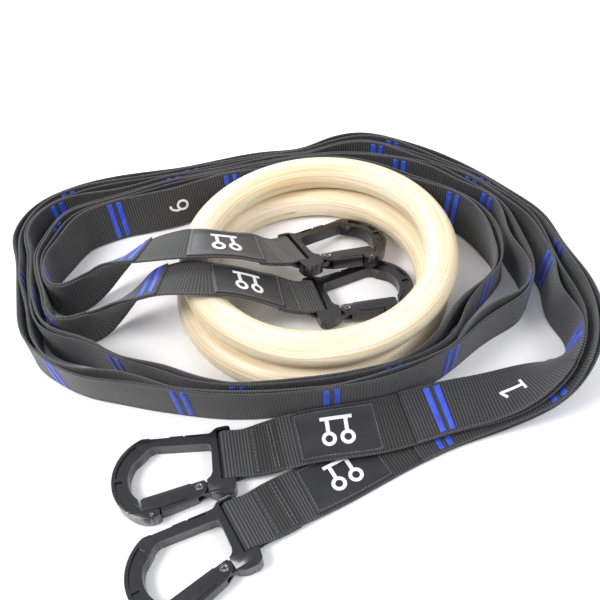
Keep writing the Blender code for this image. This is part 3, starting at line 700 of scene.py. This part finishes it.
FLAT_LINE = [(-1.0, -0.3), (-1.0, 0.6), (-0.85, 1.0), (0.85, 1.0), (1.0, 0.6), (1.0, -0.3)]
ROUND_LINE = [(-1.0, -0.4), (-0.8, 0.5), (-0.35, 0.95), (0.35, 0.95), (0.8, 0.5), (1.0, -0.4)]


def section(strap, point, way, profile, width, height, base):
    """A ring of points round a raised line that goes one way over the strap's surface."""
    shares, heights = np.array(profile).T
    s = point[0] - way[1] * shares * width / 2
    v = point[1] + way[0] * shares * width / 2
    return strap.place(s, v, base(s) + heights * height)


def band(parts, strap, path, width, height, base, closed=False):
    """A raised line printed on the strap along a path of (distance, across) points."""
    path = np.array(path, float)
    ways = unit_rows(np.roll(path, -1, 0) - np.roll(path, 1, 0) if closed else np.gradient(path, axis=0))
    rings = [section(strap, point, way, FLAT_LINE, width, height, base) for point, way in zip(path, ways)]
    parts.loft(rings, closed=closed)


def straight(start, end, steps):
    return [tuple(point) for point in np.linspace(start, end, steps)]


def stitch_row(parts, strap, start, end, base, height=0.00035):
    """A row of separate stitches between two points of the strap's surface."""
    pitch, half_stitch, width = 0.0030, 0.00115, 0.00055
    start, end = np.array(start), np.array(end)
    length = np.linalg.norm(end - start)
    count = max(1, round(length / pitch))
    way = (end - start) / length
    for k in range(count):
        middle = start + way * (k + 0.5) * length / count
        rings = []
        for along, lift in ((-1, 0.25), (-0.6, 0.85), (0, 1.0), (0.6, 0.85), (1, 0.25)):
            point = middle + way * half_stitch * along
            rings.append(section(strap, point, way, ROUND_LINE, width, height * lift, base))
        parts.loft(rings)


def tack_bar(parts, strap, s, base, sign):
    """One bar tack: close turns of thread over the strap's width."""
    width, length, thread = 0.0044, 0.037, 0.00062
    rows = int(length / thread) * 2 + 1
    v = np.linspace(-length / 2, length / 2, rows)
    ridge = 0.5 + 0.5 * np.cos(np.arange(rows) * pi)
    end_fall = ease((length / 2 - np.abs(v)) / 0.0008 + 0.15)
    shares = np.array([-1.0, -0.9, -0.45, 0.45, 0.9, 1.0])
    crown = np.array([-0.00025, 0.00035, 0.00058, 0.00058, 0.00035, -0.00025])
    jitter = RANDOM.normal(0.0, 0.00006, rows)
    rings = []
    for k in range(rows):
        places = s + shares * width / 2 + jitter[k] + 0.00012 * (1 if k % 4 < 2 else -1)
        heights = crown * (0.7 + 0.3 * ridge[k]) * np.where(crown > 0, end_fall[k], 1.0)
        rings.append(strap.place(places, v[k], base(places) + sign * heights))
    parts.loft(rings)


def make_tacks(strap, materials):
    """The pairs of blue bar tacks, as they show on the inner and the outer face."""
    made = []
    for side, base, sign in (("inner", strap.inner_height, 1), ("outer", strap.outer_height, -1)):
        parts = Parts()
        for s in strap.tacks:
            for shift in (-0.0041, 0.0041):
                tack_bar(parts, strap, s + shift, base, sign)
        made.append(sew(strap, f"{side}_tacks", parts, materials["tack"]))
    return made


DIGITS = {
    "1": [[(-0.30, 0.32), (0.0, 0.50), (0.0, -0.50)], [(-0.26, -0.50), (0.26, -0.50)]],
    "4": [[(0.12, -0.50), (0.12, 0.50), (-0.32, -0.20), (0.34, -0.20)]],
    "9": [[(0.28 * cos(a), 0.20 + 0.28 * sin(a)) for a in np.linspace(0.0, 2 * pi, 17)],
          [(0.28 * cos(a), 0.46 * sin(a) - 0.04) for a in np.linspace(0.0, -1.9, 9)]],
}


def make_numeral(strap, digit, s, v, size, materials):
    """A white woven numeral whose top points along the strap, towards its front end."""
    parts = Parts()
    for stroke in DIGITS[digit]:
        dense = []
        for (x0, y0), (x1, y1) in zip(stroke, stroke[1:]):
            steps = max(2, int(np.hypot(x1 - x0, y1 - y0) * size / 0.0008))
            dense += straight((x0, y0), (x1, y1), steps)[:-1]
        dense.append(stroke[-1])
        path = [(s + y * size, v - x * size) for x, y in dense]
        band(parts, strap, path, 0.0023, 0.00035, strap.inner_height)
    return sew(strap, f"numeral_{digit}", parts, materials["white"], smooth_angle=40)


def label_profile():
    """A patch's section: a turned hem stands proud round a flat field."""
    half, full = LABEL_WIDTH / 2, LABEL_THICKNESS
    side = [(half, 0.1 * full), (half, 0.8 * full), (half - 0.0006, full), (half - 0.0024, full),
            (half - 0.0030, LABEL_FIELD), (half * 0.5, LABEL_FIELD)]
    return np.array([(-v, height) for v, height in side] + [(0.0, LABEL_FIELD)] + side[::-1])


def make_label(strap, end, start, materials):
    """A satin patch with a turned hem, a stitched border and a plain mark of two hanging rings."""
    def base(s):
        return strap.lift(s) + WEB_THICKNESS / 2 + 0.00005

    def field(s):
        return base(s) + LABEL_FIELD

    def top(s):
        return base(s) + LABEL_THICKNESS

    stop = start + LABEL_LENGTH
    v, profile = label_profile().T
    rings, sewn = [], []
    for s in [start, start + 0.0003, *np.arange(start + 0.001, stop - 0.0009, 0.001), stop - 0.0003, stop]:
        heights = profile
        inner = min(s - start, stop - s)
        if inner < 0.0026:
            heights = np.minimum(np.where(profile > 0.5 * LABEL_THICKNESS, LABEL_THICKNESS, profile),
                                 LABEL_THICKNESS * (0.45 + inner / 0.0008))
        rings.append(strap.place(s, v, base(s) + heights))
        sewn.append([(s / MM, across / MM, 0.0) for across in v])
    patch, stitches, mark = Parts(), Parts(), Parts()
    patch.loft(rings, sewn)
    low, high, side = start + 0.0016, stop - 0.0016, LABEL_WIDTH / 2 - 0.0015
    for across in (-side, side):
        stitch_row(stitches, strap, (low, across), (high, across), top)
    for s in (low, high):
        stitch_row(stitches, strap, (s, -side), (s, side), top)
    middle, print_height = (start + stop) / 2, 0.0003
    for s in (middle - 0.0070, middle + 0.0070):
        circle = [(s + 0.0042 * cos(a), 0.0050 + 0.0042 * sin(a)) for a in np.linspace(0.0, 2 * pi, 33)[:-1]]
        band(mark, strap, circle, 0.0028, print_height, field, closed=True)
        band(mark, strap, straight((s, -0.0006), (s, -0.0092), 12), 0.0030, print_height, field)
    beam = straight((middle - 0.0120, -0.0108), (middle + 0.0120, -0.0108), 26)
    band(mark, strap, beam, 0.0028, print_height, field)
    return [sew(strap, f"{end}_label_patch", patch, materials["label"], [f"{end}_label"], 50),
            sew(strap, f"{end}_label_stitches", stitches, materials["grey_thread"]),
            sew(strap, f"{end}_label_mark", mark, materials["white"], smooth_angle=40)]


def make_fold_stitches(strap, end, materials):
    """Rows of stitches that close the folded end, on both faces except where the rear label lies."""
    parts = Parts()
    for distance in (0.021, 0.0335, 0.0362):
        s = distance if end == "rear" else strap.length - distance
        if end == "front" or distance < 0.030:
            stitch_row(parts, strap, (s, -0.0185), (s, 0.0185), strap.inner_height, 0.0004)
        stitch_row(parts, strap, (s, -0.0185), (s, 0.0185), strap.outer_height, -0.0004)
    return sew(strap, f"{end}_fold_stitches", parts, materials["grey_thread"])


def make_strap(letter, route, openings, numerals, materials):
    """One strap with all that is sewn on it."""
    strap = Strap(letter, route)
    open_pockets(strap, openings)
    base = make_base(strap, materials)
    others = [make_loops(strap, materials)]
    others += make_tacks(strap, materials)
    others += make_label(strap, "rear", REAR_LABEL_START, materials)
    others += make_label(strap, "front", strap.length - FRONT_LABEL_START - LABEL_LENGTH, materials)
    others += [make_fold_stitches(strap, end, materials) for end in ("rear", "front")]
    others += [make_numeral(strap, *numeral, materials) for numeral in numerals]
    path = strap.place(np.linspace(0.0, strap.length, 500), 0.0, 0.0)


# ---------------- rings

def make_ring(name, material):
    """A smooth torus in the CAD ring's place."""
    low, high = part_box(name)
    centre = (low + high) / 2
    major = (RING_OUTER_DIAMETER - RING_TUBE_DIAMETER) / 2
    bpy.ops.mesh.primitive_torus_add(major_segments=180, minor_segments=40, major_radius=major,
                                     minor_radius=RING_TUBE_DIAMETER / 2)
    torus = bpy.context.object
    mesh = torus.data
    bpy.data.objects.remove(torus)
    for vertex in mesh.vertices:
        angle = atan2(vertex.co.y, vertex.co.x)
        swell = 1.0 + 0.006 * sin(3 * angle + 0.7) * sin(vertex.co.z * 260)
        radial = Vector((vertex.co.x, vertex.co.y, 0.0)).normalized() * major
        vertex.co = radial + (vertex.co - radial) * swell
    mesh.shade_smooth()
    add_piece(name + "_birch", mesh, material, name, [name], Matrix.Translation(centre))


# ---------------- carabiners

def carabiner_matrix(which):
    place, turns = CARABINERS[which]
    turn = Euler([radians(t) for t in turns], "XYZ").to_matrix().to_4x4()
    return Matrix.Translation(Vector(place) - ORIGIN) @ turn


def at(x, y=0.0, z=0.0):
    """A move within the carabiner's own frame."""
    return Matrix.Translation((x, y, z))


def arc(centre, radius, start, end, steps):
    """Points of an arc in the plan of the carabiner, angles in degrees."""
    angles = [radians(start + (end - start) * k / steps) for k in range(steps + 1)]
    return [(centre[0] + radius * cos(a), centre[1] + radius * sin(a)) for a in angles]


def rounded(points, radius, steps):
    """The outline with each corner turned into a short curve."""
    points = np.array(points)
    smooth = []
    for before, corner, after in zip(np.roll(points, 1, 0), points, np.roll(points, -1, 0)):
        entry, leave = before - corner, after - corner
        entry *= min(radius / np.linalg.norm(entry), 0.45)
        leave *= min(radius / np.linalg.norm(leave), 0.45)
        for t in np.linspace(0.0, 1.0, steps):
            smooth.append(tuple(corner + entry * (1 - t) ** 2 + leave * t ** 2))
    return smooth


def flat_mesh(outline, thickness, name):
    """A plate of the outline's shape, with the carabiner's middle plane in its middle."""
    curve = bpy.data.curves.new(name, "CURVE")
    curve.dimensions = "2D"
    curve.fill_mode = "BOTH"
    curve.extrude = thickness / 2
    spline = curve.splines.new("POLY")
    spline.points.add(len(outline) - 1)
    for point, (x, y) in zip(spline.points, outline):
        point.co = (x, y, 0.0, 1.0)
    spline.use_cyclic_u = True
    obj = new_object(name, curve)
    mesh = applied_mesh(obj, name)
    bpy.data.objects.remove(obj)
    return mesh


def applied_mesh(obj, name):
    """The object's mesh with its modifiers applied and its doubled points joined."""
    mesh = bpy.data.meshes.new_from_object(obj.evaluated_get(bpy.context.evaluated_depsgraph_get()))
    mesh.name = name
    clean(mesh, 0.000005)
    return mesh


def turned_mesh(profile, steps, name):
    """A solid turned about z from a profile of (radius, height) points, bottom to top."""
    rings = [[(r * cos(2 * pi * k / steps), r * sin(2 * pi * k / steps), z) for k in range(steps)]
             for r, z in profile]
    parts = Parts()
    parts.loft(rings)
    return parts.mesh(name, 35)


def two_faced(side, steps, name):
    """A turned solid that is the same on both faces, from one face's profile, middle outwards."""
    return turned_mesh([(r, -z) for r, z in side] + [(r, z) for r, z in reversed(side)], steps, name)


def rod(radius, length, name, chamfer=0.0003):
    half = length / 2
    return two_faced([(radius - chamfer, half), (radius, half - chamfer)], 32, name)


def placed(mesh, matrix):
    mesh.transform(matrix)
    return mesh


def cut(mesh, place):
    return "DIFFERENCE", placed(mesh, place)


def bore(radius, x, y):
    """The cut for a pin that goes right through at a place in the carabiner's plan."""
    return cut(rod(radius + BORE_GAP, 0.02, "bore"), at(x, y))


def shape(mesh, bevel, changes, name):
    """The mesh with its edges bevelled, then each (operation, tool mesh) applied in turn."""
    obj = new_object(name, mesh)
    edge = obj.modifiers.new("edges", "BEVEL")
    edge.width = bevel
    edge.segments = 3
    edge.limit_method = "ANGLE"
    edge.angle_limit = radians(50)
    tools = []
    for operation, tool_mesh in changes:
        tools.append(new_object("tool", tool_mesh))
        step = obj.modifiers.new(operation.lower(), "BOOLEAN")
        step.operation = operation
        step.object = tools[-1]
    result = applied_mesh(obj, name)
    result.shade_smooth()
    result.set_sharp_from_angle(angle=radians(32))
    for used in [obj] + tools:
        bpy.data.objects.remove(used)
    return result


def frame_outline():
    """The cast body: ears, spine, basket and nose, open at the gate and at the webbing slot."""
    spine = [(0.0105, 0.0190), (0.0088, 0.0202), (0.0064, 0.0222), (0.0036, 0.0231), (-0.0034, 0.0231),
             (-0.0050, 0.0219), (-0.0050, EAR_INNER), (0.0055, EAR_INNER)]
    gate_ear = [(0.0055, -EAR_INNER), (-0.0050, -EAR_INNER)] + arc((0.0018, -0.0265), 0.0060, 190, 285, 14)
    gate_ear += [(0.0090, -0.0318), (0.0130, -0.0300), (0.0148, -0.0287), (0.0160, -0.0185)]
    hole = [(0.0128, -0.0166), (0.0112, -0.0130), (0.0103, 0.0070), (0.0112, 0.0098), (0.0140, 0.0108),
            (0.0520, 0.0161)]
    hole += arc((0.0530, 0.0081), 0.0078, 80, 30, 8)
    hole += arc(BASKET, BASKET_INNER_RADIUS, 38, -46, 24)
    nose = [(0.0650, -0.0338), (0.0508, -0.0338), (0.0504, -0.0381), (0.0530, -0.0402), (0.0570, -0.0409)]
    outline = spine + gate_ear + hole + nose + arc(BASKET, BASKET_OUTER_RADIUS, -69, 71, 40)
    return rounded(outline, 0.0012, 4)


def channel_outline(start, end):
    """A channel that follows the basket from one angle to another, with round ends."""
    inner, outer = 0.0260, 0.0320
    return rounded(arc(BASKET, outer, start, end, 24) + arc(BASKET, inner, end, start, 24), 0.0010, 4)


def frame_mesh():
    """The carabiner's body, with its webbing bar, gate tongue, spine notches and basket channels."""
    body = flat_mesh(frame_outline(), BODY_THICKNESS, "carabiner_body")
    along_y = Matrix.Rotation(pi / 2, 4, "X")
    tongue = arc((RIVET_X, RIVET_Y), 0.0048, -85, 75, 16) + [(0.0140, -0.0192), (0.0135, -0.0280)]
    changes = [("UNION", placed(rod(BAR_RADIUS, 2 * EAR_INNER + 0.004, "webbing_bar"), along_y)),
               ("UNION", flat_mesh(tongue, TONGUE_THICKNESS, "gate_tongue")),
               bore(RIVET_RADIUS, RIVET_X, RIVET_Y), bore(PIN_RADIUS, PIN_X, PIN_Y)]
    notch_half_width = 0.0009
    for side in (-1, 1):
        face = at(0.0, 0.0, side * BODY_THICKNESS / 2)
        for start, end in ((6.0, 60.0), (-60.0, 1.0)):
            changes.append(cut(flat_mesh(channel_outline(start, end), 0.0030, "channel"), face))
        for x, half in ((0.0235, 0.0070), (0.0480, 0.0075)):
            y = 0.0172 + 0.156 * (x - 0.0105)
            corners = [(sx * half, sy * notch_half_width) for sx, sy in ((-1, -1), (1, -1), (1, 1), (-1, 1))]
            notch_place = face @ at(x, y) @ Matrix.Rotation(radians(9.5), 4, "Z")
            changes.append(cut(flat_mesh(corners, 0.0022, "notch"), notch_place))
    return shape(body, 0.0016, changes, "carabiner_frame")


def spring_place(distance):
    """A frame at a distance from the rivet along the gate, its z along the gate."""
    swing = Matrix.Rotation(radians(-9.0), 4, "Z")
    return at(RIVET_X, RIVET_Y) @ swing @ at(distance) @ Matrix.Rotation(pi / 2, 4, "Y")


def gate_mesh():
    """The gate: a fork over the frame's tongue, a straight arm and an end that meets the nose."""
    outline = [(0.0276, -0.0196), (0.0282, -0.0189), (0.0622, -0.0238), (0.0640, -0.0252),
               (0.0630, -0.0330), (0.0500, -0.0332), (0.0494, -0.0368), (0.0240, -0.0308)]
    outline += arc((RIVET_X, RIVET_Y), FORK_RADIUS, 250, 130, 16) + [(0.0200, -0.0185)]
    body = flat_mesh(rounded(outline, 0.0006, 3), GATE_THICKNESS, "gate_body")
    slot_outline = arc((RIVET_X, RIVET_Y), 0.0052, -60, 60, 16)
    slot_outline += [(0.0215, -0.0100), (0.0100, -0.0100), (0.0100, -0.0380), (0.0215, -0.0380)]
    changes = [cut(flat_mesh(slot_outline, SLOT_THICKNESS, "gate_slot"), Matrix()),
               bore(RIVET_RADIUS, RIVET_X, RIVET_Y),
               cut(rod(0.0019, 0.0100, "spring_bore"), spring_place(0.0088))]
    groove = rounded([(0.0300, -0.0305), (0.0560, -0.0352), (0.0562, -0.0343), (0.0302, -0.0296)], 0.0004, 3)
    for side in (-1, 1):
        face = at(0.0, 0.0, side * GATE_THICKNESS / 2)
        changes.append(cut(flat_mesh(groove, 0.0010, "groove"), face))
    return shape(body, 0.0010, changes, "carabiner_gate")


def spring_mesh():
    """The gate's small coil spring, wound along the bore behind the tongue."""
    turns, steps, length, radius, wire = 3.5, 24, 0.0068, 0.0012, 0.00028
    count = int(turns * steps)
    rings = []
    for k in range(count + 1):
        angle = 2 * pi * k / steps
        out = Vector((cos(angle), sin(angle), 0.0))
        centre = out * radius + Vector((0.0, 0.0, length * (k / count - 0.5)))
        rings.append([tuple(centre + wire * (out * cos(a) + Vector((0.0, 0.0, sin(a)))))
                      for a in np.linspace(0.0, 2 * pi, 9)[:-1]])
    parts = Parts()
    parts.loft(rings)
    return placed(parts.mesh("gate_spring"), spring_place(0.0094))


def rivet_mesh():
    """A shank with a dished head on each side of the gate."""
    half, head = GATE_THICKNESS / 2, RIVET_HEAD_RADIUS
    side = [(0.0004, half + 0.00025), (0.0011, half + 0.0003), (0.0016, half + 0.00075),
            (head - 0.0005, half + 0.0009), (head, half + 0.0006), (head, half + 0.0003),
            (RIVET_RADIUS, half + 0.0003)]
    return placed(two_faced(side, 40, "gate_rivet"), at(RIVET_X, RIVET_Y))


def pin_mesh():
    """The nose pin, with a dished end on each face."""
    half = BODY_THICKNESS / 2 - 0.0002
    side = [(0.0003, half - 0.0005), (0.0010, half - 0.0004), (PIN_RADIUS - 0.0002, half),
            (PIN_RADIUS, half - 0.0003)]
    return placed(two_faced(side, 32, "nose_pin"), at(PIN_X, PIN_Y))


def make_carabiners(materials):
    """The four carabiners, each of the same five meshes in its own place."""
    pieces = [
        ("frame", "body", frame_mesh(), "anodised", "anodised_dark", "carabiner_"),
        ("gate", "arm", gate_mesh(), "anodised", "anodised_dark", "gate_"),
        ("gate_rivet", "rivet", rivet_mesh(), "steel", "dark_steel", "carabiner_"),
        ("gate_spring", "coil", spring_mesh(), "spring", "spring_steel", "gate_"),
        ("nose_pin", "pin", pin_mesh(), "steel", "dark_steel", "carabiner_"),
    ]
    for which in CARABINERS:
        for node, piece, mesh, material, slot, body in pieces:
            add_piece(f"carabiner_{which}_{piece}", mesh.copy(), materials[material], body + which,
                      [f"carabiner_{which}_{node}"], carabiner_matrix(which))


# ---------------- the whole scene

# how far each pocket stands open between its tacks, in millimetres
OPENINGS_A = (1.0, 3.0, 6.5, 3.0, 2.5, 4.5, 8.5, 4.0, 3.0, 2.5, 7.5, 8.5, 3.5, 4.5, 3.5, 6.0, 8.0, 2.5)
OPENINGS_B = (1.0, 5.0, 7.0, 2.5, 2.5, 3.5, 7.0, 5.5, 2.5, 2.5, 6.0, 8.5, 7.0, 3.5, 4.5, 3.5, 5.0, 6.0, 3.0,
              2.0)

# digit, distance along the strap, place across it and height, in metres
NUMERALS_A = (("9", 0.421, 0.001, 0.017), ("4", 1.452, 0.009, 0.017), ("1", 2.071, 0.001, 0.019))

make_camera()
make_studio()
MATERIALS = make_materials()
make_strap("a", ROUTE_A, OPENINGS_A, NUMERALS_A, MATERIALS)
make_strap("b", ROUTE_B, OPENINGS_B, (), MATERIALS)
make_ring("lower_ring", birch_material("birch_lower", 0.4))
make_ring("upper_ring", birch_material("birch_upper", 2.1))
make_carabiners(MATERIALS)
